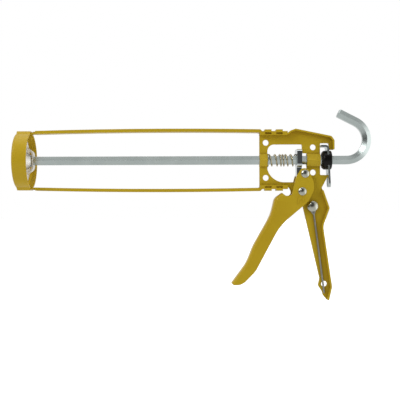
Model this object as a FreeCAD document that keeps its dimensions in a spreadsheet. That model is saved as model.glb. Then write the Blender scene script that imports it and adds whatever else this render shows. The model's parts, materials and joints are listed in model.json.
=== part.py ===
import FreeCAD, Part
import math
import os
from FreeCAD import Placement, Rotation, Vector

# Skeleton caulking gun for a 310 ml cartridge, in millimetres.
# +X points along the rod towards the hook, +Z points up, and Y is across the gun.
# The origin is on the rod's axis, at the front edge of the body plates.

DIMENSIONS = {
    "sheet_thickness": 1.5,
    "plate_gap": 0.05,
    "flange_reach": 6.15,
    "front_edge_height": 25.8,
    "front_column_width": 7.6,
    "rear_column_start": 44.8,
    "rear_column_width": 12.7,
    "bolt_hole_radius": 2.8,
    "bolt_along": 6.0,
    "bolt_height": 16.65,
    "rear_hole_along": 50.8,
    "rear_hole_upper": 12.2,
    "rear_hole_lower": -11.7,
    "cutter_along": 60.9,
    "cutter_height": -117.4,
    "cutter_radius": 2.8,
    "tunnel_wall": 1.5,
    "rod_clearance": 0.35,
    "rod_across_flats": 8.0,
    "rod_front": -213.9,
    "hook_start": 82.6,
    "hook_radius": 19.2,
    "hook_turn": 153.0,
    "hook_tail": 18.6,
    "hook_end_rounding": 1.2,
    "ring_front": -230.4,
    "ring_depth": 14.0,
    "ring_outer_radius": 26.7,
    "ring_wall": 1.3,
    "nozzle_radius": 20.5,
    "seat_setback": 1.5,
    "seat_height": 27.9,
    "seat_half_width": 6.4,
    "seat_wall": 1.15,
    "tab_half_width": 5.5,
    "tab_thickness": 1.4,
    "rail_width": 12.0,
    "rail_depth": 3.0,
    "rail_end_height": 28.2,
    "rail_rear_height": 29.1,
    "rail_bow": 1.2,
    "tail_length": 26.5,
    "tail_drop": 3.7,
    "tail_half_width": 6.2,
    "clasp_reach": 4.55,
    "stake_lift": 1.6,
    "slot_height": 0.7,
    "pivot_along": 39.9,
    "pivot_height": -29.7,
    "pivot_radius": 2.5,
    "pivot_bush_radius": 4.0,
    "pin_along": 42.6,
    "pin_height": -13.0,
    "pin_radius": 1.7,
    "roller_radius": 2.4,
    "sleeve_half_length": 6.3,
    "rivet_head_radius": 3.75,
    "rivet_head_height": 1.7,
    "cheek_inside": 6.5,
    "cheek_thickness": 1.6,
    "spine_rounding": 3.5,
    "crease_height": 0.4,
    "crease_width": 1.6,
    "needle_along": 50.0,
    "needle_height": -43.8,
    "needle_wire_radius": 0.9,
    "needle_eye_radius": 3.3,
    "needle_shank_radius": 2.0,
    "thrust_front": 34.9,
    "thrust_thickness": 2.3,
    "thrust_width": 20.0,
    "thrust_hole_radius": 4.95,
    "spring_wire": 1.3,
    "spring_radius": 5.4,
    "spring_turns": 6.0,
    "spring_seat_start": 7.7,
    "spring_seat_thickness": 0.8,
    "spring_seat_radius": 6.4,
    "pusher_washer_thickness": 0.95,
    "pusher_washer_radius": 4.4,
    "lever_thickness": 1.8,
    "lever_width": 14.8,
    "lever_hole_radius": 5.7,
    "fork_half_gap": 2.4,
    "fork_top": -12.4,
    "lever_end": -25.8,
    "bush_radius": 9.0,
    "bush_start": 59.0,
    "bush_length": 9.3,
    "disc_radius": 21.6,
    "disc_thickness": 1.2,
    "disc_rear": -222.3,
    "bridge_width": 8.6,
    "bridge_thickness": 1.3,
    "spigot_radius": 2.5,
    "spigot_head_height": 1.65,
    "cone_height": 5.9,
}

FIT = 0.05
RUNNING_FIT = 0.06
OVERLAP = 0.1
BEYOND = 1.0

doc = FreeCAD.newDocument("caulking_gun")
sheet = doc.addObject("Spreadsheet::Sheet", "Sheet")


def fill_sheet():
    for row, (name, value) in enumerate(DIMENSIONS.items(), start=1):
        sheet.set(f"A{row}", name)
        sheet.set(f"B{row}", str(value))
        sheet.setAlias(f"B{row}", name)
    doc.recompute()


def size(name):
    return float(sheet.get(name))


# ---------- outlines ----------

def offset_corner(before, here, after, distance):
    """The corner of an open outline moved sideways, to the right of its direction."""
    directions = []
    for start, end in ((before, here), (here, after)):
        if start is not None and end is not None:
            run = Vector(end[0] - start[0], end[1] - start[1], 0)
            run.normalize()
            directions.append(run)
    normals = [Vector(run.y, -run.x, 0) for run in directions]
    if len(normals) == 1:
        shift = normals[0] * distance
        return here[0] + shift.x, here[1] + shift.y, 0
    middle = normals[0] + normals[1]
    middle.normalize()
    shift = middle * (distance / middle.dot(normals[0]))
    turn = directions[0].cross(directions[1]).z
    radius = here[2]
    if radius > 0:
        radius = max(radius + math.copysign(distance, turn), 0.2)
    return here[0] + shift.x, here[1] + shift.y, radius


def strip(path, thickness):
    """A closed band: the path and, to its right, the same path moved by the thickness."""
    inner = []
    for index, here in enumerate(path):
        before = path[index - 1] if index > 0 else None
        after = path[index + 1] if index + 1 < len(path) else None
        inner.append(offset_corner(before, here, after, thickness))
    return path + inner[::-1]


def rounded(corners):
    """Lines and arcs for a closed outline of corners (a, b, rounding radius)."""
    count = len(corners)
    entries = []
    for index, (a, b, radius) in enumerate(corners):
        corner = Vector(a, b, 0)
        before = Vector(*corners[index - 1][:2], 0) - corner
        after = Vector(*corners[(index + 1) % count][:2], 0) - corner
        before.normalize()
        after.normalize()
        angle = before.getAngle(after)
        if radius <= 0 or abs(math.pi - angle) < 1e-4:
            entries.append((corner, None, corner))
            continue
        reach = radius / math.tan(angle / 2)
        bisector = before + after
        bisector.normalize()
        centre = corner + bisector * (radius / math.sin(angle / 2))
        entries.append((corner + before * reach, centre - bisector * radius, corner + after * reach))
    edges = []
    for index, (start, middle, end) in enumerate(entries):
        if middle is not None:
            edges.append(Part.Arc(start, middle, end))
        following = entries[(index + 1) % count][0]
        if end.distanceToPoint(following) > 1e-6:
            edges.append(Part.LineSegment(end, following))
    return edges


def rectangle(low_a, low_b, high_a, high_b, radius=0):
    return rounded([(low_a, low_b, radius), (high_a, low_b, radius),
                    (high_a, high_b, radius), (low_a, high_b, radius)])


def circle(a, b, radius):
    return [Part.Circle(Vector(a, b, 0), Vector(0, 0, 1), radius)]


# ---------- feature helpers ----------

def new_body(label):
    body = doc.addObject("PartDesign::Body", label)
    body.Label = label
    return body


def new_sketch(body, name, plane, edges, offset=0.0):
    sketch = body.newObject("Sketcher::SketchObject", name)
    support = next(f for f in body.Origin.OriginFeatures if f.Role == plane)
    sketch.AttachmentSupport = [(support, "")]
    sketch.MapMode = "FlatFace"
    sketch.AttachmentOffset = Placement(Vector(0, 0, offset), Rotation())
    sketch.addGeometry(edges, False)
    doc.recompute()
    return sketch


def pad(body, sketch, length, symmetric=False, reverse=False):
    feature = body.newObject("PartDesign::Pad", sketch.Name + "_pad")
    feature.Profile = sketch
    feature.setExpression("Length", length)
    if symmetric:
        feature.SideType = "Symmetric"
    feature.Reversed = reverse
    doc.recompute()
    return feature


def pocket(body, sketch, length, symmetric=False, reverse=False):
    before = body.Shape.Volume
    feature = body.newObject("PartDesign::Pocket", sketch.Name + "_pocket")
    feature.Profile = sketch
    feature.setExpression("Length", length)
    if symmetric:
        feature.SideType = "Symmetric"
    feature.Reversed = reverse
    doc.recompute()
    if body.Shape.Volume > before - 0.01:
        raise RuntimeError(sketch.Name + " cut nothing")
    return feature


def revolve(body, sketch, axis, angle=360.0, symmetric=False):
    feature = body.newObject("PartDesign::Revolution", sketch.Name + "_revolution")
    feature.Profile = sketch
    feature.ReferenceAxis = (sketch, [axis])
    feature.Angle = angle
    feature.Midplane = symmetric
    doc.recompute()
    return feature


def fillet(body, feature, radius, wanted):
    """Round the edges of a feature that the wanted(edge) test picks out."""
    names = [f"Edge{number}" for number, edge in enumerate(feature.Shape.Edges, start=1) if wanted(edge)]
    rounding = body.newObject("PartDesign::Fillet", feature.Name + "_fillet")
    rounding.Base = (feature, names)
    rounding.Radius = radius
    doc.recompute()
    return rounding


def mirrored(source, label, normal):
    copy = doc.addObject("Part::Mirroring", label)
    copy.Label = label
    copy.Source = source
    copy.Normal = normal
    doc.recompute()
    return copy


def turned_part(label, along, height, profile):
    """A body turned about an axis parallel to Y, from a profile of radius against Y."""
    body = new_body(label)
    sketch = new_sketch(body, label + "_profile", "XY_Plane", profile)
    revolve(body, sketch, "V_Axis")
    body.setExpression("Placement.Base.x", along)
    body.setExpression("Placement.Base.z", height)
    return body


# ---------- body plates, with the handle ----------

HANDLE_REAR = [(60.1, -28.6, 0), (65.9, -45.5, 4), (59.6, -62.5, 14), (67.9, -120.0, 5), (64.9, -132.6, 0)]
TOP_REAR = [(26.8, 25.8, 0.4), (29.0, 27.8, 2.5), (34.0, 29.6, 0.8), (67.8, 22.6, 3.0), (70.6, 18.6, 2.5),
            (70.6, 10.0, 0)]


def web_outline():
    edge = size("front_edge_height")
    hook_and_notch = [(70.4, 9.8, 0.8), (65.8, 9.8, 0.8), (65.8, 16.1, 1.5), (57.5, 16.1, 1),
                       (57.5, -14.1, 1), (65.4, -14.2, 0.8), (58.9, -26.4, 1.2)]
    handle_front = [(64.4, -133.4, 1.2), (59.8, -128.0, 3), (59.0, -124.6, 2), (55.2, -118.8, 3),
                    (56.7, -112.0, 3), (39.6, -37.6, 3), (31.4, -37.2, 4), (29.4, -28.6, 3)]
    front = [(27.9, -edge, 1.4), (0, -edge, 0), (0, edge, 0)]
    return rounded(front + TOP_REAR[:-1] + hook_and_notch + HANDLE_REAR[:-1] + handle_front)


def web_openings():
    column = size("front_column_width")
    rear = size("rear_column_start")
    window = [(column, 15.0, 6.5), (40.4, 15.0, 1.3), (40.4, 6.6, 1.3), (rear, 6.6, 0.8), (rear, -7.8, 0.5),
              (46.0, -9.2, 1), (46.0, -20.9, 3), (11.1, -20.9, 16.5), (column, -8.7, 0.8)]
    loops = rounded(window)
    bolts = [(size("bolt_along"), side * size("bolt_height")) for side in (1, -1)]
    rear_holes = [(size("rear_hole_along"), size(name)) for name in ("rear_hole_upper", "rear_hole_lower")]
    for x, z in bolts + rear_holes:
        loops += circle(x, z, size("bolt_hole_radius"))
    loops += circle(size("cutter_along"), size("cutter_height"), size("cutter_radius"))
    loops += circle(size("pivot_along"), size("pivot_height"), size("pivot_bush_radius") + FIT)
    loops += circle(size("needle_along"), size("needle_height"), size("needle_shank_radius") + FIT)
    return loops


def half_hexagon(half_flats):
    """The near half of a hexagon, run a little past the plane where the two plates meet."""
    corner = half_flats / math.cos(math.radians(30))
    return [(OVERLAP, half_flats, 0), (-corner / 2, half_flats, 0), (-corner, 0, 0),
            (-corner / 2, -half_flats, 0), (OVERLAP, -half_flats, 0)]


STAKES = ((5.1, 10.9), (15.8, 21.5))


def add_flanges(body):
    """Turned-out edges of the plate, cut shorter where the rail tails clasp them."""
    reach = "Sheet.flange_reach"
    thickness = size("sheet_thickness")
    edge = size("front_edge_height")
    start = 0.3
    top = strip([(start, edge, 0)] + TOP_REAR, thickness)
    pad(body, new_sketch(body, "top_flange", "XZ_Plane", rounded(top)), reach)
    bottom = rectangle(start, -edge, size("tail_length") - start, thickness - edge)
    pad(body, new_sketch(body, "bottom_flange", "XZ_Plane", bottom), reach)
    handle = strip(HANDLE_REAR, thickness)
    pad(body, new_sketch(body, "handle_flange", "XZ_Plane", rounded(handle)), reach)
    tail_end = size("tail_length") + OVERLAP
    inside = edge - size("tail_drop") - BEYOND
    clasped = []
    for low, high in ((inside, edge + BEYOND), (-edge - BEYOND, -inside)):
        clasped += rectangle(-BEYOND, low, tail_end, high)
    cut = new_sketch(body, "clasped_flanges", "XZ_Plane", clasped, size("clasp_reach"))
    pocket(body, cut, reach, reverse=True)


def add_stakes(body):
    """Short lengths of both clasped flanges, pushed outwards into the rail tails."""
    thickness = size("sheet_thickness")
    edge = size("front_edge_height")
    skin = 0.3
    for side, place in ((1, "upper"), (-1, "lower")):
        low, high = sorted((side * (edge - thickness - BEYOND), side * (edge - OVERLAP)))
        block = sorted((side * (edge - skin), side * (edge + size("stake_lift") - skin - FIT)))
        for number, (start, end) in enumerate(STAKES):
            name = f"{place}_stake_{number}"
            notch = new_sketch(body, name + "_notch", "XZ_Plane", rectangle(start, low, end, high),
                               thickness + FIT)
            pocket(body, notch, "Sheet.flange_reach", reverse=True)
            bump = new_sketch(body, name, "XZ_Plane",
                              rectangle(start - OVERLAP, block[0], end + OVERLAP, block[1]))
            pad(body, bump, "Sheet.clasp_reach")


def body_plate():
    body = new_body("body_plate_left")
    web = new_sketch(body, "web", "XZ_Plane", web_outline() + web_openings())
    pad(body, web, "Sheet.sheet_thickness")
    add_flanges(body)
    half_bore = size("rod_across_flats") / 2 + size("rod_clearance")
    half_tunnel = half_bore + size("tunnel_wall")
    tunnels = (("front_tunnel", 0.0, "Sheet.front_column_width"),
               ("rear_tunnel", size("rear_column_start"), "Sheet.rear_column_width"))
    for name, start, length in tunnels:
        outer = [(min(y, 0), z, r) for y, z, r in half_hexagon(half_tunnel)]
        pad(body, new_sketch(body, name, "YZ_Plane", rounded(outer), start), length)
    bore = new_sketch(body, "rod_bore", "YZ_Plane", rounded(half_hexagon(half_bore)), -BEYOND)
    pocket(body, bore, "Sheet.rear_column_start + Sheet.rear_column_width + 5", reverse=True)
    add_stakes(body)
    body.setExpression("Placement.Base.y", "-Sheet.plate_gap")
    doc.recompute()
    return body


# ---------- front ring and rails ----------

def front_ring():
    body = new_body("front_ring")
    front = size("ring_front")
    rear = front + size("ring_depth")
    outer = size("ring_outer_radius")
    wall = size("ring_wall")
    inner = outer - wall
    profile = [(rear, outer, 0.4), (front, outer, 2.5), (front, size("nozzle_radius"), 0.5),
               (front + wall, size("nozzle_radius"), 0.5), (front + wall, inner, 1.2), (rear, inner, 0.4)]
    revolve(body, new_sketch(body, "ring_profile", "XZ_Plane", rounded(profile)), "H_Axis")
    low = outer - 1.7
    high = size("seat_height")
    half = size("seat_half_width")
    foot = half + 2.6
    for side, name in ((1, "upper_seat"), (-1, "lower_seat")):
        raised = [(-foot, side * low, 0), (-half, side * high, 1.2), (half, side * high, 1.2),
                  (foot, side * low, 0)]
        sketch = new_sketch(body, name, "YZ_Plane", rounded(raised), front + size("seat_setback"))
        pad(body, sketch, "Sheet.ring_depth - Sheet.seat_setback")
    channel_half = size("tab_half_width") + 0.2
    channel_top = high - size("seat_wall")
    channel_front = front + size("seat_setback") + size("seat_wall")
    for side, name in ((1, "upper_channel"), (-1, "lower_channel")):
        span = sorted((side * (inner - 5), side * channel_top))
        outline = rectangle(-channel_half, span[0], channel_half, span[1])
        sketch = new_sketch(body, name, "YZ_Plane", outline, channel_front)
        pocket(body, sketch, "Sheet.ring_depth", reverse=True)
    return body


def rail_edge(drop):
    """One long edge of the rail: a shallow arc, lowered by the drop."""
    front = size("rod_front") + 2.4
    front_z = size("rail_end_height") - drop
    rear_z = size("rail_rear_height") - drop
    middle_z = (front_z + rear_z) / 2 + size("rail_bow")
    return Vector(front, front_z, 0), Vector(front / 2, middle_z, 0), Vector(0.6, rear_z, 0)


def rail_band(upper_drop, lower_drop, rear_bevel, front_bevel):
    """The side outline of the rail between two of its long edges, with bevelled top corners."""
    upper = rail_edge(upper_drop)
    lower = rail_edge(lower_drop)
    rear = [upper[2], lower[2]]
    front = [lower[0], upper[0]]
    if rear_bevel:
        rear[1:1] = [upper[2] + Vector(rear_bevel, -rear_bevel, 0), lower[2] + Vector(rear_bevel, 0, 0)]
    if front_bevel:
        front[1:1] = [lower[0] - Vector(front_bevel, 0, 0), upper[0] - Vector(front_bevel, front_bevel, 0)]
    edges = [Part.Arc(*upper), Part.Arc(*lower)]
    for corners in (rear, front):
        edges += [Part.LineSegment(a, b) for a, b in zip(corners, corners[1:])]
    return edges


def add_tail(body, tail_low, tail_high):
    """A channel over the body's edge, slotted and lifted where the body's stakes enter it."""
    outer = "2 * Sheet.tail_half_width"
    inner = "2 * (Sheet.clasp_reach + 0.2)"
    end = size("tail_length")
    foot = tail_high - size("tail_drop")
    slot_top = tail_high + BEYOND
    lift = size("stake_lift")
    sides = rounded([(0.2, foot, 0), (end, foot, 0.8), (end, tail_high, 0.8), (0.2, tail_high, 0)])
    pad(body, new_sketch(body, "tail", "XZ_Plane", sides), outer, symmetric=True)
    clearance = 0.15
    for number, (first, last) in enumerate(STAKES):
        slot = rectangle(first - clearance, foot + size("slot_height"), last + clearance, slot_top)
        pocket(body, new_sketch(body, f"slot_{number}", "XZ_Plane", slot), outer, symmetric=True)
        lifted = rectangle(first - 2 * clearance, foot + 2.6, last + 2 * clearance, tail_high + lift)
        pad(body, new_sketch(body, f"lifted_{number}", "XZ_Plane", lifted), outer, symmetric=True)
    bore = rectangle(-2 * BEYOND, foot - BEYOND, end + BEYOND, tail_low)
    pocket(body, new_sketch(body, "tail_bore", "XZ_Plane", bore), inner, symmetric=True)
    for number, (first, last) in enumerate(STAKES):
        room = rectangle(first - clearance, tail_low - BEYOND, last + clearance, tail_low + lift)
        pocket(body, new_sketch(body, f"stake_room_{number}", "XZ_Plane", room), inner, symmetric=True)


def add_tab(body):
    """The front tab that enters the ring's seat, and the shoulder where it leaves the rail."""
    high = size("seat_height") - size("seat_wall") - FIT
    front = size("ring_front") + size("seat_setback") + size("seat_wall") + 0.2
    rear = size("rod_front") + 1.6
    width = "2 * Sheet.tab_half_width"
    tab = rectangle(front, high - size("tab_thickness"), rear, high)
    pad(body, new_sketch(body, "tab", "XZ_Plane", tab), width, symmetric=True)
    shoulder = rectangle(rear - 1.6, high - 0.5, rear - 0.8, high + 0.8)
    pad(body, new_sketch(body, "shoulder", "XZ_Plane", shoulder), width, symmetric=True)


def upper_rail():
    body = new_body("upper_rail")
    thickness = size("sheet_thickness")
    tail_low = size("front_edge_height") + FIT
    tail_high = tail_low + thickness
    depth = size("rail_depth")
    width = "Sheet.rail_width"
    pad(body, new_sketch(body, "channel", "XZ_Plane", rail_band(0, depth, 1.5, 1.0)), width, symmetric=True)
    link = rectangle(-BEYOND, tail_low, size("tail_length"), tail_high)
    pad(body, new_sketch(body, "tail_link", "XZ_Plane", link), width, symmetric=True)
    hollow = new_sketch(body, "channel_hollow", "XZ_Plane", rail_band(-2, depth - thickness, 0, 0))
    pocket(body, hollow, "Sheet.rail_width - 2 * Sheet.sheet_thickness", symmetric=True)
    add_tail(body, tail_low, tail_high)
    add_tab(body)
    return body


# ---------- rod and pusher ----------

def hexagon(half_flats):
    corner = half_flats / math.cos(math.radians(30))
    points = [(corner * math.cos(math.radians(a)), corner * math.sin(math.radians(a)), 0)
              for a in range(0, 360, 60)]
    return rounded(points)


def rod_path():
    start = size("hook_start")
    radius = size("hook_radius")
    turn = math.radians(size("hook_turn"))
    centre = Vector(start, radius, 0)

    def on_arc(angle):
        return centre + Vector(math.sin(angle), -math.cos(angle), 0) * radius

    end = on_arc(turn)
    tail = end + Vector(math.cos(turn), math.sin(turn), 0) * size("hook_tail")
    return [Part.LineSegment(Vector(size("rod_front"), 0, 0), Vector(start, 0, 0)),
            Part.Arc(Vector(start, 0, 0), on_arc(turn / 2), end),
            Part.LineSegment(end, tail)]


def hex_rod():
    body = new_body("hex_rod")
    front = size("rod_front")
    section = new_sketch(body, "rod_section", "YZ_Plane", hexagon(size("rod_across_flats") / 2), front)
    path = new_sketch(body, "rod_path", "XZ_Plane", rod_path())
    pipe = body.newObject("PartDesign::AdditivePipe", "rod_pipe")
    pipe.Profile = section
    pipe.Spine = path
    doc.recompute()
    tail = rod_path()[-1]

    def at_tail_end(edge):
        run = tail.EndPoint - tail.StartPoint
        ends = [Vector(vertex.X, vertex.Z, 0) for vertex in edge.Vertexes]
        return all(abs((end - tail.EndPoint).dot(run)) < 0.1 for end in ends)

    fillet(body, pipe, size("hook_end_rounding"), at_tail_end)
    radius = size("spigot_radius")
    head = cone_tip() - size("disc_thickness") - FIT
    head_end = head - size("spigot_head_height")
    root = front + BEYOND
    spigot = [(root, 0, 0), (root, radius, 0), (head, radius, 0), (head, radius + 1.5, 0.4),
              (head_end, radius + 0.7, 1.0), (head_end, 0, 0)]
    revolve(body, new_sketch(body, "spigot", "XZ_Plane", rounded(spigot)), "H_Axis")
    return body


def cone_tip():
    """How far back the pressed cone in the middle of the disc reaches."""
    return size("disc_rear") + size("cone_height")


def pusher_disc():
    """A thin disc with a pressed cone, riveted on the rod's spigot."""
    body = new_body("pusher_disc")
    thickness = size("disc_thickness")
    rear = size("disc_rear")
    tip = cone_tip()
    path = [(rear, size("disc_radius"), 0), (rear, 9.2, 1.5), (tip, 5.2, 1.0),
            (tip, size("spigot_radius") + FIT, 0)]
    profile = strip(path, thickness)
    revolve(body, new_sketch(body, "disc_profile", "XZ_Plane", rounded(profile)), "H_Axis")
    return body


def pusher_bridge():
    body = new_body("pusher_bridge")
    foot = size("disc_rear") + size("bridge_thickness") + FIT
    crown = size("rod_front") - OVERLAP
    upper = [(foot, 17.4, 0), (foot, 13.2, 2.5), (crown, 8.0, 5.5)]
    lower = [(x, -z, r) for x, z, r in upper[::-1]]
    band = strip((upper + lower)[::-1], -size("bridge_thickness"))
    pad(body, new_sketch(body, "bridge", "XZ_Plane", rounded(band)), "Sheet.bridge_width", symmetric=True)
    hole = new_sketch(body, "bridge_hole", "YZ_Plane", circle(0, 0, size("spigot_radius") + FIT),
                      crown - 2 * size("bridge_thickness"))
    pocket(body, hole, "4 * Sheet.bridge_thickness", reverse=True)
    return body


def ring_part(label, start, length, inner, outer):
    """A plain ring about the rod's axis."""
    body = new_body(label)
    profile = rectangle(start, inner, start + length, outer, min(0.15, length / 4))
    revolve(body, new_sketch(body, label + "_profile", "XZ_Plane", profile), "H_Axis")
    return body


# ---------- trigger, rivets and thrust plates ----------

TRIGGER_FRONT = [(20.9, -31.0, 0), (13.9, -36.0, 8), (10.3, -51.5, 40), (-6.3, -80.8, 30), (-13.0, -97.4, 40),
                 (-26.9, -116.3, 0), (-25.0, -117.8, 1)]
TRIGGER_REAR = [(-17.0, -117.8, 12), (-4.4, -105.0, 20), (19.0, -61.6, 55), (35.2, -48.0, 18),
                (45.6, -39.2, 9), (50.9, -28.4, 12), (50.9, -21.3, 14), (45.2, -7.9, 4.2), (39.0, -7.9, 4.0),
                (34.2, -15.6, 10), (29.7, -33.7, 3.0), (24.2, -33.7, 2.2)]
TRIGGER_CREASE = [(34.9, -41.0, 0), (36.0, -35.2, 1.8), (41.4, -35.2, 1.8), (41.6, -39.4, 0)]


def on_spine(edge):
    """Whether an edge is one of the trigger's long outer edges in front of its grip."""
    ends = [vertex.Point for vertex in edge.Vertexes]
    outside = size("cheek_inside") + size("cheek_thickness")
    if any(abs(abs(point.y) - outside) > 0.01 for point in ends):
        return False
    middle = edge.valueAt((edge.FirstParameter + edge.LastParameter) / 2)
    grip_line = 22 + (middle.z + 33) * 0.494
    return ends[0].y * ends[-1].y > 0 and middle.x < grip_line and -116 < middle.z < -36


def trigger_shell():
    body = new_body("trigger_shell")
    cheek = size("cheek_thickness")
    outline = new_sketch(body, "trigger_outline", "XZ_Plane", rounded(TRIGGER_FRONT + TRIGGER_REAR))
    width = "2 * (Sheet.cheek_inside + Sheet.cheek_thickness)"
    block = pad(body, outline, width, symmetric=True)
    fillet(body, block, size("spine_rounding"), on_spine)
    spine = TRIGGER_FRONT[1:-1]
    inner_front = strip(spine, -cheek)[:len(spine) - 1:-1]
    behind = [(-20, -125, 0), (60, -60, 0), (60, 0, 0), (26.0, 0, 0), (23.4, -31.0, 0)]
    pocket(body, new_sketch(body, "trigger_hollow", "XZ_Plane", rounded(inner_front + behind)),
           "2 * Sheet.cheek_inside", symmetric=True)
    outside = size("cheek_inside") + cheek
    crease = strip(TRIGGER_CREASE, size("crease_width"))
    for side, name in ((1, "near_crease"), (-1, "far_crease")):
        sketch = new_sketch(body, name, "XZ_Plane", rounded(crease), side * (outside - OVERLAP))
        pad(body, sketch, "Sheet.crease_height", reverse=side < 0)
    holes = circle(size("pivot_along"), size("pivot_height"), size("pivot_radius") + RUNNING_FIT)
    holes += circle(size("pin_along"), size("pin_height"), size("pin_radius") + FIT)
    pocket(body, new_sketch(body, "trigger_holes", "XZ_Plane", holes), width, symmetric=True)
    return body


def dome(radius, base, height, side):
    """The rim, the crown's middle and the crown of a domed head whose underside is at y = base."""
    rim = height * 0.25
    rise = height - rim
    ball = (radius ** 2 + rise ** 2) / (2 * rise)
    half = math.asin(radius / ball) / 2
    middle = Vector(ball * math.sin(half), side * (base + height - ball * (1 - math.cos(half))), 0)
    return Vector(radius, side * (base + rim), 0), middle, Vector(0, side * (base + height), 0)


def rivet(label, along, height, shank, near, far):
    """A rivet with two domed heads, each given as (radius, underside, height)."""
    near_rim, near_middle, near_crown = dome(*near, -1)
    far_rim, far_middle, far_crown = dome(*far, 1)
    corners = [near_rim, Vector(near[0], -near[1], 0), Vector(shank, -near[1], 0), Vector(shank, far[1], 0),
               Vector(far[0], far[1], 0), far_rim]
    edges = [Part.Arc(near_crown, near_middle, near_rim), Part.Arc(far_rim, far_middle, far_crown)]
    edges += [Part.LineSegment(start, end) for start, end in zip(corners, corners[1:])]
    edges.append(Part.LineSegment(far_crown, near_crown))
    return turned_part(label, along, height, edges)


def cheek_rivet(label, along, height, shank):
    underside = size("cheek_inside") + size("cheek_thickness") + OVERLAP
    head = (size("rivet_head_radius"), underside, size("rivet_head_height"))
    return rivet(label, along, height, shank, head, head)


def sleeve(label, along, height, inner, outer):
    half = size("sleeve_half_length")
    profile = [(inner, -half, 0), (outer, -half, 0.2), (outer, half, 0.2), (inner, half, 0)]
    return turned_part(label, along, height, rounded(profile))


def needle_rivet():
    far_face = size("plate_gap") + size("sheet_thickness") + FIT
    near_head = (5.0, 3.9, 2.25)
    far_head = (3.5, far_face, 1.2)
    return rivet("needle_rivet", "Sheet.needle_along", "Sheet.needle_height", size("needle_shank_radius"),
                 near_head, far_head)


def puncture_needle():
    """A wire eye round the rivet, and a straight tapered wire down the handle."""
    wire = size("needle_wire_radius")
    side = -(size("plate_gap") + size("sheet_thickness") + wire + 0.25)
    centre = Vector(size("needle_along"), side, size("needle_height"))
    eye = doc.addObject("Part::Torus", "needle_eye")
    eye.setExpression("Radius1", "Sheet.needle_eye_radius")
    eye.setExpression("Radius2", "Sheet.needle_wire_radius")
    eye.Placement = Placement(centre, Rotation(Vector(1, 0, 0), 90))
    neck = Vector(51.3, side, -51.6)
    bend = Vector(56.6, side, -92.0)
    tip = Vector(60.6, side, -124.0)
    pieces = [eye]
    for number, (start, end) in enumerate(((neck, bend), (bend, tip))):
        run = doc.addObject("Part::Cylinder", f"needle_run_{number}")
        run.setExpression("Radius", "Sheet.needle_wire_radius")
        run.Height = (end - start).Length
        run.Placement = Placement(start, Rotation(Vector(0, 0, 1), end - start))
        knuckle = doc.addObject("Part::Sphere", f"needle_knuckle_{number}")
        knuckle.setExpression("Radius", "Sheet.needle_wire_radius")
        knuckle.Placement = Placement(start, Rotation())
        pieces += [run, knuckle]
    point = doc.addObject("Part::Cone", "needle_point")
    point.setExpression("Radius1", "Sheet.needle_wire_radius")
    point.Radius2 = 0.25
    point.Height = 2.5
    point.Placement = Placement(tip, Rotation(Vector(0, 0, 1), tip - bend))
    pieces.append(point)
    for number, angle in enumerate((-1, 1)):
        leg_start = centre + Vector(angle * 2.9, 0, -1.8)
        leg = doc.addObject("Part::Cylinder", f"needle_leg_{number}")
        leg.setExpression("Radius", "Sheet.needle_wire_radius")
        leg.Height = (neck - leg_start).Length
        leg.Placement = Placement(leg_start, Rotation(Vector(0, 0, 1), neck - leg_start))
        pieces.append(leg)
    needle = doc.addObject("Part::MultiFuse", "puncture_needle")
    needle.Label = "puncture_needle"
    needle.Shapes = pieces
    doc.recompute()
    return needle


def thrust_plate(label, start):
    """One of the two gripping plates: a broad block on the rod with a narrower tail."""
    body = new_body(label)
    half = size("thrust_width") / 2
    tail = 5.8
    outline = [(-half, 10.2, 3.2), (half, 10.2, 3.2), (half, -6.2, 2.6), (tail, -6.2, 1), (tail, -16.6, 1.5),
               (-tail, -16.6, 1.5), (-tail, -6.2, 1), (-half, -6.2, 2.6)]
    hole = circle(0, 0, size("thrust_hole_radius"))
    sketch = new_sketch(body, label + "_outline", "YZ_Plane", rounded(outline) + hole, start)
    pad(body, sketch, "Sheet.thrust_thickness")
    return body


def drive_spring():
    body = new_body("drive_spring")
    wire = size("spring_wire")
    seat = size("spring_seat_start") + size("spring_seat_thickness") + 0.02
    length = size("thrust_front") - FIT - seat - wire
    section = new_sketch(body, "spring_section", "XZ_Plane",
                         circle(seat + wire / 2, size("spring_radius"), wire / 2))
    coil = body.newObject("PartDesign::AdditiveHelix", "spring_coil")
    coil.Profile = section
    coil.ReferenceAxis = (section, ["H_Axis"])
    coil.Mode = "pitch-height-angle"
    coil.Height = length
    coil.setExpression("Pitch", f"{length} / Sheet.spring_turns")
    doc.recompute()
    return body


# ---------- release lever ----------

LEVER_REAR = [(57.9, 14.0, 0), (65.1, 14.0, 3.2), (66.9, -25.8, 0)]


def release_lever():
    body = new_body("release_lever")
    thickness = size("lever_thickness")
    width = "Sheet.lever_width"
    band = strip(LEVER_REAR, thickness)
    pad(body, new_sketch(body, "lever_side", "XZ_Plane", rounded(band)), width, symmetric=True)
    half = size("lever_width") / 2
    gap = size("fork_half_gap")
    end = size("lever_end")
    start = size("bush_start")
    hole = new_sketch(body, "lever_hole", "YZ_Plane", circle(0, 0, size("lever_hole_radius")), start)
    pocket(body, hole, "Sheet.bush_length", reverse=True)
    slot = rectangle(-gap, end - 5, gap, size("fork_top"), 1)
    pocket(body, new_sketch(body, "lever_fork", "YZ_Plane", slot, start), "Sheet.bush_length", reverse=True)
    tip = end + OVERLAP
    inside = gap - OVERLAP
    outside = half + BEYOND
    for side, name in ((-1, "near_prong_end"), (1, "far_prong_end")):
        trim = [(side * outside, end + 5, 0), (side * half, end + 5, 0), (side * half, tip, 3.8),
                (side * gap, tip, 1.0), (side * gap, end + 2, 0), (side * inside, end + 2, 0),
                (side * inside, end - 3, 0), (side * outside, end - 3, 0)]
        corner = new_sketch(body, name, "YZ_Plane", rounded(trim), start)
        pocket(body, corner, "Sheet.bush_length", reverse=True)
    return body


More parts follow.
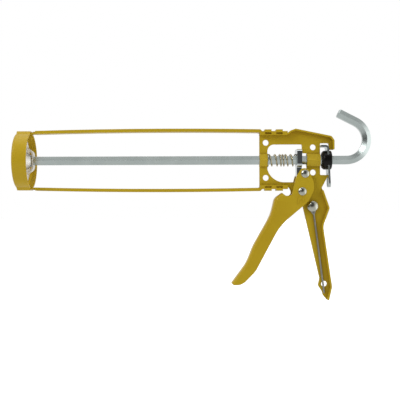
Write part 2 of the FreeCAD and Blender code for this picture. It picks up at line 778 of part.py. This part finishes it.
def lever_bush():
    body = new_body("lever_bush")
    start = size("bush_start")
    end = start + size("bush_length")
    radius = size("bush_radius")
    bore = size("lever_hole_radius") + FIT
    profile = [(start, bore, 0.3), (start, radius - 1.8, 1.0), (start + 1.8, radius, 2.4),
               (end - 0.6, radius, 1.0), (end, radius - 1.0, 0.6), (end, bore, 0.3)]
    revolve(body, new_sketch(body, "bush_profile", "XZ_Plane", rounded(profile)), "H_Axis")
    thickness = size("lever_thickness")
    outer = [(x + 0.06, z, r) for x, z, r in LEVER_REAR[1:]]
    slot = strip([(outer[0][0], outer[0][1], 0), outer[1]], thickness + 0.12)
    pocket(body, new_sketch(body, "bush_slot", "XZ_Plane", rounded(slot)), "Sheet.lever_width + 0.1",
           symmetric=True)
    return body


# ---------- build, check and write ----------

def build():
    fill_sheet()
    left = body_plate()
    upper = upper_rail()
    pivot = ("Sheet.pivot_along", "Sheet.pivot_height")
    pin = ("Sheet.pin_along", "Sheet.pin_height")
    pivot_radius = size("pivot_radius")
    pin_radius = size("pin_radius")
    spigot_bore = size("spigot_radius") + FIT
    rear_plate_start = size("thrust_front") + size("thrust_thickness") + OVERLAP
    parts = [
        left,
        mirrored(left, "body_plate_right", Vector(0, 1, 0)),
        front_ring(),
        upper,
        mirrored(upper, "lower_rail", Vector(0, 0, 1)),
        cheek_rivet("pivot_rivet", *pivot, pivot_radius),
        sleeve("pivot_bush", *pivot, pivot_radius + FIT, size("pivot_bush_radius")),
        needle_rivet(),
        ring_part("spring_seat", size("spring_seat_start"), size("spring_seat_thickness"),
                  size("thrust_hole_radius"), size("spring_seat_radius")),
        drive_spring(),
        trigger_shell(),
        cheek_rivet("drive_pin", *pin, pin_radius),
        sleeve("drive_roller", *pin, pin_radius + FIT, size("roller_radius")),
        thrust_plate("thrust_plate_front", size("thrust_front")),
        thrust_plate("thrust_plate_rear", rear_plate_start),
        hex_rod(),
        pusher_disc(),
        pusher_bridge(),
        ring_part("pusher_washer", cone_tip() + FIT, size("pusher_washer_thickness"), spigot_bore,
                  size("pusher_washer_radius")),
        release_lever(),
        lever_bush(),
        puncture_needle(),
    ]
    doc.recompute()
    return parts


def check(parts):
    for item in doc.Objects:
        if "Invalid" in item.State or "Error" in item.State:
            raise RuntimeError(f"{item.Label} did not build: {item.State}")
    for part in parts:
        shape = part.Shape
        if shape.isNull() or not shape.isValid() or not shape.Solids:
            raise RuntimeError(f"{part.Label} has no valid solid")
        print(f"{part.Label}: {len(shape.Solids)} solid, {shape.Volume:.0f} mm3")


def write(parts):
    os.makedirs("parts", exist_ok=True)
    for part in parts:
        part.Shape.exportStep(os.path.join("parts", part.Label + ".step"))


built = build()
check(built)
write(built)
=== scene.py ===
import json
import math
from collections import namedtuple

import bpy
from mathutils import Matrix, Vector

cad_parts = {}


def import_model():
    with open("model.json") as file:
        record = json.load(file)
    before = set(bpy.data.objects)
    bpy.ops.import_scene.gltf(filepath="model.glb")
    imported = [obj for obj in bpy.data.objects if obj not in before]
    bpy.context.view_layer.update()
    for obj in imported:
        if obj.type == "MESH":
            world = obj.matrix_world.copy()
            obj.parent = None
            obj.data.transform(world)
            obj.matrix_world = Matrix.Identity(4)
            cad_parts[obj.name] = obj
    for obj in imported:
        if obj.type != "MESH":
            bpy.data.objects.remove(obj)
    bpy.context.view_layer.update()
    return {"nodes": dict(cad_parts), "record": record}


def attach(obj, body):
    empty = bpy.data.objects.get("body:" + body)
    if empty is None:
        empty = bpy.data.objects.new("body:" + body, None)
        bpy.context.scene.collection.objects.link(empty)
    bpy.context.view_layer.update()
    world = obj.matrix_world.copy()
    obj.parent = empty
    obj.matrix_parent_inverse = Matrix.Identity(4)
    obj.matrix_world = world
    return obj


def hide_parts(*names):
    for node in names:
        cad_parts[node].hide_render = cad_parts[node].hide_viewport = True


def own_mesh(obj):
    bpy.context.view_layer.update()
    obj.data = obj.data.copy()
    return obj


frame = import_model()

nodes = frame["nodes"]
MM = 0.001


# ---------- shader nodes ----------

NOISE_LOW, NOISE_HIGH = 0.3, 0.7     # most of a noise texture lies between these
NOISE_ROUGHNESS = 0.55
MIX_FACTOR, MIX_BASE, MIX_OVER, MIX_RESULT = 0, 6, 7, 2     # a colour Mix node's sockets


def connect(tree, value, socket):
    """Link a socket to another one, or give it a plain value."""
    if isinstance(value, bpy.types.NodeSocket):
        tree.links.new(value, socket)
    else:
        socket.default_value = value


def add_node(tree, kind, inputs, **settings):
    """Add a node of a kind, with its settings and its inputs by name or number."""
    node = tree.nodes.new(kind)
    for key, value in settings.items():
        setattr(node, key, value)
    for key, value in inputs.items():
        connect(tree, value, node.inputs[key])
    return node


def add_ramp(tree, factor, stops):
    """A colour ramp through stops, each a position and its red, green and blue."""
    ramp = add_node(tree, "ShaderNodeValToRGB", {"Fac": factor})
    elements = ramp.color_ramp.elements
    while len(elements) < len(stops):
        elements.new(0.5)            # moved to its own place below
    for element, (position, colour) in zip(elements, stops):
        element.position = position
        element.color = (*colour, 1)
    return ramp.outputs["Color"]


class Look:
    """One material, built on the Principled shader with textures in the piece's own coordinates."""

    def __init__(self, name):
        self.material = bpy.data.materials.new(name)
        self.material.use_nodes = True
        self.tree = self.material.node_tree
        self.coords = self.add("ShaderNodeTexCoord", {}).outputs["Object"]

    def add(self, kind, inputs, **settings):
        return add_node(self.tree, kind, inputs, **settings)

    def noise(self, scale, detail, stretch=None):
        vector = self.coords
        if stretch:
            vector = self.add("ShaderNodeMapping", {"Vector": vector, "Scale": stretch}).outputs["Vector"]
        inputs = {"Vector": vector, "Scale": scale, "Detail": detail, "Roughness": NOISE_ROUGHNESS}
        return self.add("ShaderNodeTexNoise", inputs).outputs["Fac"]

    def tones(self, scale, detail, dark, light):
        """Cloudy colour between two tones."""
        return add_ramp(self.tree, self.noise(scale, detail), [(NOISE_LOW, dark), (NOISE_HIGH, light)])

    def level(self, factor, low, high, out_low, out_high):
        """Turn a factor's range, low to high, into another range."""
        inputs = {"Value": factor, "From Min": low, "From Max": high, "To Min": out_low, "To Max": out_high}
        return self.add("ShaderNodeMapRange", inputs).outputs["Result"]

    def uneven(self, noise, low, high):
        """A value that a noise takes from low to high."""
        return self.level(noise, NOISE_LOW, NOISE_HIGH, low, high)

    def mix(self, factor, base, colour):
        """Some of a plain colour over a base colour."""
        node = self.add("ShaderNodeMix", {}, data_type="RGBA")
        connect(self.tree, factor, node.inputs[MIX_FACTOR])
        connect(self.tree, base, node.inputs[MIX_BASE])
        connect(self.tree, (*colour, 1), node.inputs[MIX_OVER])
        return node.outputs[MIX_RESULT]

    def bump(self, noise, strength, depth):
        inputs = {"Height": noise, "Strength": strength, "Distance": depth}
        return self.add("ShaderNodeBump", inputs).outputs["Normal"]

    def finish(self, **values):
        """Set the shader's inputs, with an underscore for each space in their names."""
        shader = self.tree.nodes["Principled BSDF"]
        for key, value in values.items():
            connect(self.tree, value, shader.inputs[key.replace("_", " ")])
        return self.material


# ---------- materials ----------

def yellow_paint():
    """Gloss enamel with a painted highlight on sharp edges, painted shade in recesses, and a fine orange
    peel.
    """
    look = Look("yellow_paint")
    colour = look.tones(scale=18, detail=2, dark=(0.56, 0.375, 0.018), light=(0.61, 0.415, 0.022))
    # Sharp outer edges are painted a lighter yellow: a painted edge highlight, not thinner paint.
    sharpness = look.add("ShaderNodeNewGeometry", {}).outputs["Pointiness"]
    painted_edge_highlight = look.level(sharpness, low=0.54, high=0.62, out_low=0.0, out_high=0.3)
    colour = look.mix(painted_edge_highlight, colour, (0.68, 0.52, 0.03))
    # Corners, recesses and gaps between parts are painted darker brown from ambient occlusion: painted shade,
    # not dirt.
    openness = look.add("ShaderNodeAmbientOcclusion", {"Distance": 5 * MM}, samples=8).outputs["AO"]
    painted_shade = look.level(openness, low=0.25, high=0.95, out_low=0.45, out_high=0.0)
    colour = look.mix(painted_shade, colour, (0.3, 0.17, 0.012))
    sheen = look.uneven(look.noise(scale=60, detail=3), 0.34, 0.44)
    peel = look.bump(look.noise(scale=900, detail=2), strength=0.06, depth=0.2 * MM)
    return look.finish(Base_Color=colour, Roughness=sheen, Normal=peel, IOR=1.42,
                       Specular_Tint=(1, 0.72, 0.2, 1), Specular_IOR_Level=0.36,
                       Coat_Weight=0.16, Coat_Roughness=0.14)


def zinc_plate():
    """Zinc on drawn steel: its fine lines run along x."""
    look = Look("zinc_plate")
    colour = look.tones(scale=45, detail=4, dark=(0.45, 0.505, 0.49), light=(0.53, 0.585, 0.57))
    lines = look.noise(scale=350, detail=3, stretch=(0.04, 1, 1))
    return look.finish(Base_Color=colour, Metallic=1.0, Roughness=look.uneven(lines, 0.2, 0.34),
                       Normal=look.bump(lines, strength=0.12, depth=0.05 * MM))


def bright_nickel():
    """Pale satin plating, which looks nearly white."""
    look = Look("bright_nickel")
    colour = look.tones(scale=60, detail=3, dark=(0.8, 0.79, 0.76), light=(0.87, 0.86, 0.83))
    rough = look.uneven(look.noise(scale=150, detail=3), 0.34, 0.42)
    grain = look.bump(look.noise(scale=500, detail=2), strength=0.05, depth=0.05 * MM)
    return look.finish(Base_Color=colour, Metallic=0.4, Roughness=rough, Normal=grain)


def hardened_steel():
    """Polished steel, which reflects sharply."""
    look = Look("hardened_steel")
    colour = look.tones(scale=80, detail=3, dark=(0.56, 0.6, 0.61), light=(0.68, 0.72, 0.72))
    rough = look.uneven(look.noise(scale=200, detail=3), 0.08, 0.14)
    grain = look.bump(look.noise(scale=500, detail=2), strength=0.05, depth=0.05 * MM)
    return look.finish(Base_Color=colour, Metallic=1.0, Roughness=rough, Normal=grain)


def rivet_steel():
    look = Look("rivet_steel")
    colour = look.tones(scale=300, detail=3, dark=(0.42, 0.43, 0.36), light=(0.52, 0.52, 0.45))
    grain = look.bump(look.noise(scale=1200, detail=2), strength=0.1, depth=0.1 * MM)
    return look.finish(Base_Color=colour, Metallic=1.0, Roughness=0.22, Normal=grain)


def spring_wire():
    look = Look("spring_wire")
    colour = look.tones(scale=120, detail=3, dark=(0.4, 0.34, 0.2), light=(0.56, 0.51, 0.36))
    grain = look.bump(look.noise(scale=900, detail=2), strength=0.1, depth=0.1 * MM)
    return look.finish(Base_Color=colour, Metallic=1.0, Roughness=0.2, Normal=grain)


def needle_wire():
    look = Look("needle_wire")
    colour = look.tones(scale=200, detail=3, dark=(0.33, 0.33, 0.29), light=(0.45, 0.45, 0.4))
    grain = look.bump(look.noise(scale=1500, detail=2), strength=0.15, depth=0.1 * MM)
    return look.finish(Base_Color=colour, Metallic=1.0, Roughness=0.3, Normal=grain)


def black_rubber():
    look = Look("black_rubber")
    colour = look.tones(scale=150, detail=3, dark=(0.003, 0.0028, 0.0025), light=(0.006, 0.0055, 0.005))
    rough = look.uneven(look.noise(scale=80, detail=3), 0.28, 0.4)
    grain = look.bump(look.noise(scale=700, detail=3), strength=0.15, depth=0.2 * MM)
    return look.finish(Base_Color=colour, Roughness=rough, Normal=grain, Specular_IOR_Level=0.2)


def pale_floor():
    """White board that glows a little, so that it fades into the backdrop."""
    look = Look("pale_floor")
    light, dark = (0.9, 0.9, 0.9), (0.882, 0.882, 0.882)
    tone = add_ramp(look.tree, look.noise(scale=4, detail=2), [(0.0, light), (1.0, dark)])
    return look.finish(Base_Color=tone, Roughness=0.7, Emission_Color=(1, 1, 1, 1), Emission_Strength=0.6)


def paint(piece, material):
    piece.data.materials.clear()
    piece.data.materials.append(material)


SLOTS = {"yellow_paint": yellow_paint(), "zinc_steel": zinc_plate(), "rivet_steel": rivet_steel(),
         "spring_wire": spring_wire(), "needle_wire": needle_wire(), "black_rubber": black_rubber()}
NICKEL, HARDENED = bright_nickel(), hardened_steel()
OWN_FINISH = {"pusher_disc": NICKEL, "pusher_bridge": NICKEL,
              "thrust_plate_front": HARDENED, "thrust_plate_rear": HARDENED}

for entry in frame["record"]["subparts"]:
    entry_node = entry["node"]
    paint(nodes[entry_node], OWN_FINISH.get(entry_node, SLOTS[entry["material_slot"]]))


# ---------- softened edges ----------

EDGE_WIDTHS = {"hex_rod": 0.3, "body_plate_left": 0.3, "body_plate_right": 0.3, "trigger_shell": 0.25,
               "upper_rail": 0.3, "lower_rail": 0.3, "thrust_plate_front": 0.2, "thrust_plate_rear": 0.2,
               "release_lever": 0.3}
EDGE_ANGLE = math.radians(35)        # flatter edges than this stay as they are


def soften(piece, width):
    bevel = piece.modifiers.new("soft_edge", "BEVEL")
    bevel.width = width * MM
    bevel.segments = 2
    bevel.limit_method = "ANGLE"
    bevel.angle_limit = EDGE_ANGLE
    bevel.harden_normals = True


for edge_piece, edge_width in EDGE_WIDTHS.items():
    soften(nodes[edge_piece], edge_width)


# ---------- drive spring ----------

COIL_RADIUS = 5.4 * MM
COIL_WIRE = 0.66 * MM
COIL_CRESTS = (9.2, 14.6, 19.3, 21.9, 24.7, 29.5, 34.15)     # mm along x, closest in the middle
COIL_STEPS = 40
WIRE_SIDES = 10


def coil_place(turn):
    """Where along x the spring's wire is after a number of turns."""
    whole = min(int(turn), len(COIL_CRESTS) - 2)
    start, end = COIL_CRESTS[whole], COIL_CRESTS[whole + 1]
    return (start + (end - start) * (turn - whole)) * MM


def coil_line():
    """The middle of the spring's wire, from its front crest to its rear one."""
    turns = len(COIL_CRESTS) - 1
    line = []
    for step in range(turns * COIL_STEPS + 1):
        turn = step / COIL_STEPS
        angle = math.tau * turn
        line.append(Vector((coil_place(turn), -COIL_RADIUS * math.sin(angle), COIL_RADIUS * math.cos(angle))))
    return line


def wound_wire(name, line, radius, sides):
    """A round wire along a line that winds about the x axis, closed at both ends."""
    points, faces = [], []
    for index, place in enumerate(line):
        run = (line[min(index + 1, len(line) - 1)] - line[max(index - 1, 0)]).normalized()
        outward = Vector((0, place.y, place.z)).normalized()
        across = run.cross(outward).normalized()
        outward = across.cross(run)
        for number in range(sides):
            angle = math.tau * number / sides
            points.append(place + radius * (math.cos(angle) * outward + math.sin(angle) * across))
    for index in range(len(line) - 1):
        for number in range(sides):
            here = index * sides + number
            beside = index * sides + (number + 1) % sides
            faces.append((here, beside, beside + sides, here + sides))
    faces.append(tuple(reversed(range(sides))))
    faces.append(tuple(range(len(points) - sides, len(points))))
    mesh = bpy.data.meshes.new(name)
    mesh.from_pydata(points, [], faces)
    mesh.update()
    for face in mesh.polygons[:-2]:
        face.use_smooth = True
    wire = bpy.data.objects.new(name, mesh)
    bpy.context.scene.collection.objects.link(wire)
    return wire


spring = wound_wire("drive_spring_coil", coil_line(), COIL_WIRE, WIRE_SIDES)
paint(spring, SLOTS["spring_wire"])
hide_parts("drive_spring")
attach(spring, "frame")
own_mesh(spring)


# ---------- floor ----------

FLOOR_SIZE = 30
FLOOR_HEIGHT = -0.42


def floor():
    """A floor far below the gun, which neither lights it nor shows in it."""
    bpy.ops.mesh.primitive_plane_add(size=FLOOR_SIZE, location=(0, 0, FLOOR_HEIGHT))
    plane = bpy.context.object
    plane.name = "floor"
    plane.visible_diffuse = False
    plane.visible_glossy = False
    paint(plane, pale_floor())


# ---------- studio tent ----------

# The tent's grey from straight below (0) to straight above (1).
TENT = [(0.0, 0.8), (0.3, 0.75), (0.5, 0.68), (0.75, 0.64), (0.93, 0.55), (1.0, 1.0)]

# A round patch of the tent: low outside the outer angle, high inside the inner one, angles in degrees.
Patch = namedtuple("Patch", "towards outer inner low high")
TOP_PANEL = Patch(towards=(0, 0.2, 1), outer=40, inner=20, low=1, high=1.9)
RIGHT_PANEL = Patch(towards=(0.95, -0.25, 0), outer=40, inner=20, low=0, high=1.4)
BACK_PANEL = Patch(towards=(0, 1, 0), outer=60, inner=30, low=0, high=0.2)
PHOTOGRAPHER = Patch(towards=(-0.05, -1, 0.42), outer=42, inner=20, low=1, high=0.1)
LEFT_STAND = Patch(towards=(-0.75, -0.66, 0), outer=17, inner=9, low=1, high=0.05)


def tent_strength(tree, direction):
    """The tent's brightness: the panels added up, then darkened by what stands in front of it."""

    def spot(patch):
        facing = add_node(tree, "ShaderNodeVectorMath", {0: direction, 1: Vector(patch.towards).normalized()},
                          operation="DOT_PRODUCT").outputs["Value"]
        inputs = {"Value": facing, "From Min": math.cos(math.radians(patch.outer)),
                  "From Max": math.cos(math.radians(patch.inner)), "To Min": patch.low, "To Max": patch.high}
        return add_node(tree, "ShaderNodeMapRange", inputs, interpolation_type="SMOOTHSTEP").outputs["Result"]

    def combine(operation, strength, patch):
        inputs = {0: strength, 1: spot(patch)}
        return add_node(tree, "ShaderNodeMath", inputs, operation=operation).outputs[0]

    strength = spot(TOP_PANEL)
    for panel in (RIGHT_PANEL, BACK_PANEL):
        strength = combine("ADD", strength, panel)
    for shadow in (PHOTOGRAPHER, LEFT_STAND):
        strength = combine("MULTIPLY", strength, shadow)
    return strength


def world():
    """A studio tent that lights the gun and shows in it, with plain white behind the gun itself."""
    tent_world = bpy.data.worlds.new("studio_tent")
    tent_world.use_nodes = True
    bpy.context.scene.world = tent_world
    tree = tent_world.node_tree
    direction = add_node(tree, "ShaderNodeTexCoord", {}).outputs["Generated"]
    height = add_node(tree, "ShaderNodeSeparateXYZ", {0: direction}).outputs["Z"]
    share = add_node(tree, "ShaderNodeMapRange", {"Value": height, "From Min": -1}).outputs["Result"]
    grey = add_ramp(tree, share, [(position, (tone, tone, tone)) for position, tone in TENT])
    tent = add_node(tree, "ShaderNodeBackground", {"Color": grey, "Strength": tent_strength(tree, direction)})
    backdrop = tree.nodes["Background"]
    backdrop.inputs["Color"].default_value = (1, 1, 1, 1)
    seen = add_node(tree, "ShaderNodeLightPath", {}).outputs["Is Camera Ray"]
    choice = add_node(tree, "ShaderNodeMixShader", {0: seen, 1: tent.outputs[0], 2: backdrop.outputs[0]})
    tree.links.new(choice.outputs[0], tree.nodes["World Output"].inputs["Surface"])


# ---------- lamps and camera ----------

VIEW_CENTRE = Vector((-0.0565, 0, -0.0375))
VIEW_DISTANCE = 0.77
LENS, SENSOR = 72.9, 36
ROLL = math.radians(-0.18)


def lamp(name, place, target, size, power):
    """A square lamp that points from its place at a target."""
    light = bpy.data.lights.new(name, "AREA")
    light.size = size
    light.energy = power
    holder = bpy.data.objects.new(name, light)
    bpy.context.scene.collection.objects.link(holder)
    holder.location = place
    holder.rotation_euler = (Vector(target) - Vector(place)).to_track_quat("-Z", "Y").to_euler()


def camera():
    """A camera square on to the gun's left side, rolled a little."""
    data = bpy.data.cameras.new("camera")
    data.sensor_width = SENSOR
    data.lens = LENS
    eye = bpy.data.objects.new("camera", data)
    bpy.context.scene.collection.objects.link(eye)
    eye.location = VIEW_CENTRE - Vector((0, VIEW_DISTANCE, 0))
    level = (VIEW_CENTRE - eye.location).to_track_quat("-Z", "Y").to_matrix()
    eye.rotation_euler = (level @ Matrix.Rotation(ROLL, 3, "Z")).to_euler()
    bpy.context.scene.camera = eye


floor()
world()
lamp("key", place=(-0.95, -0.8, 0.85), target=(-0.05, 0, 0), size=0.5, power=5.0)
lamp("glint", place=(-0.3, -1.2, 0.67), target=(-0.22, 0, 0), size=0.03, power=0.5)
camera()
bpy.context.scene.view_settings.view_transform = "Standard"
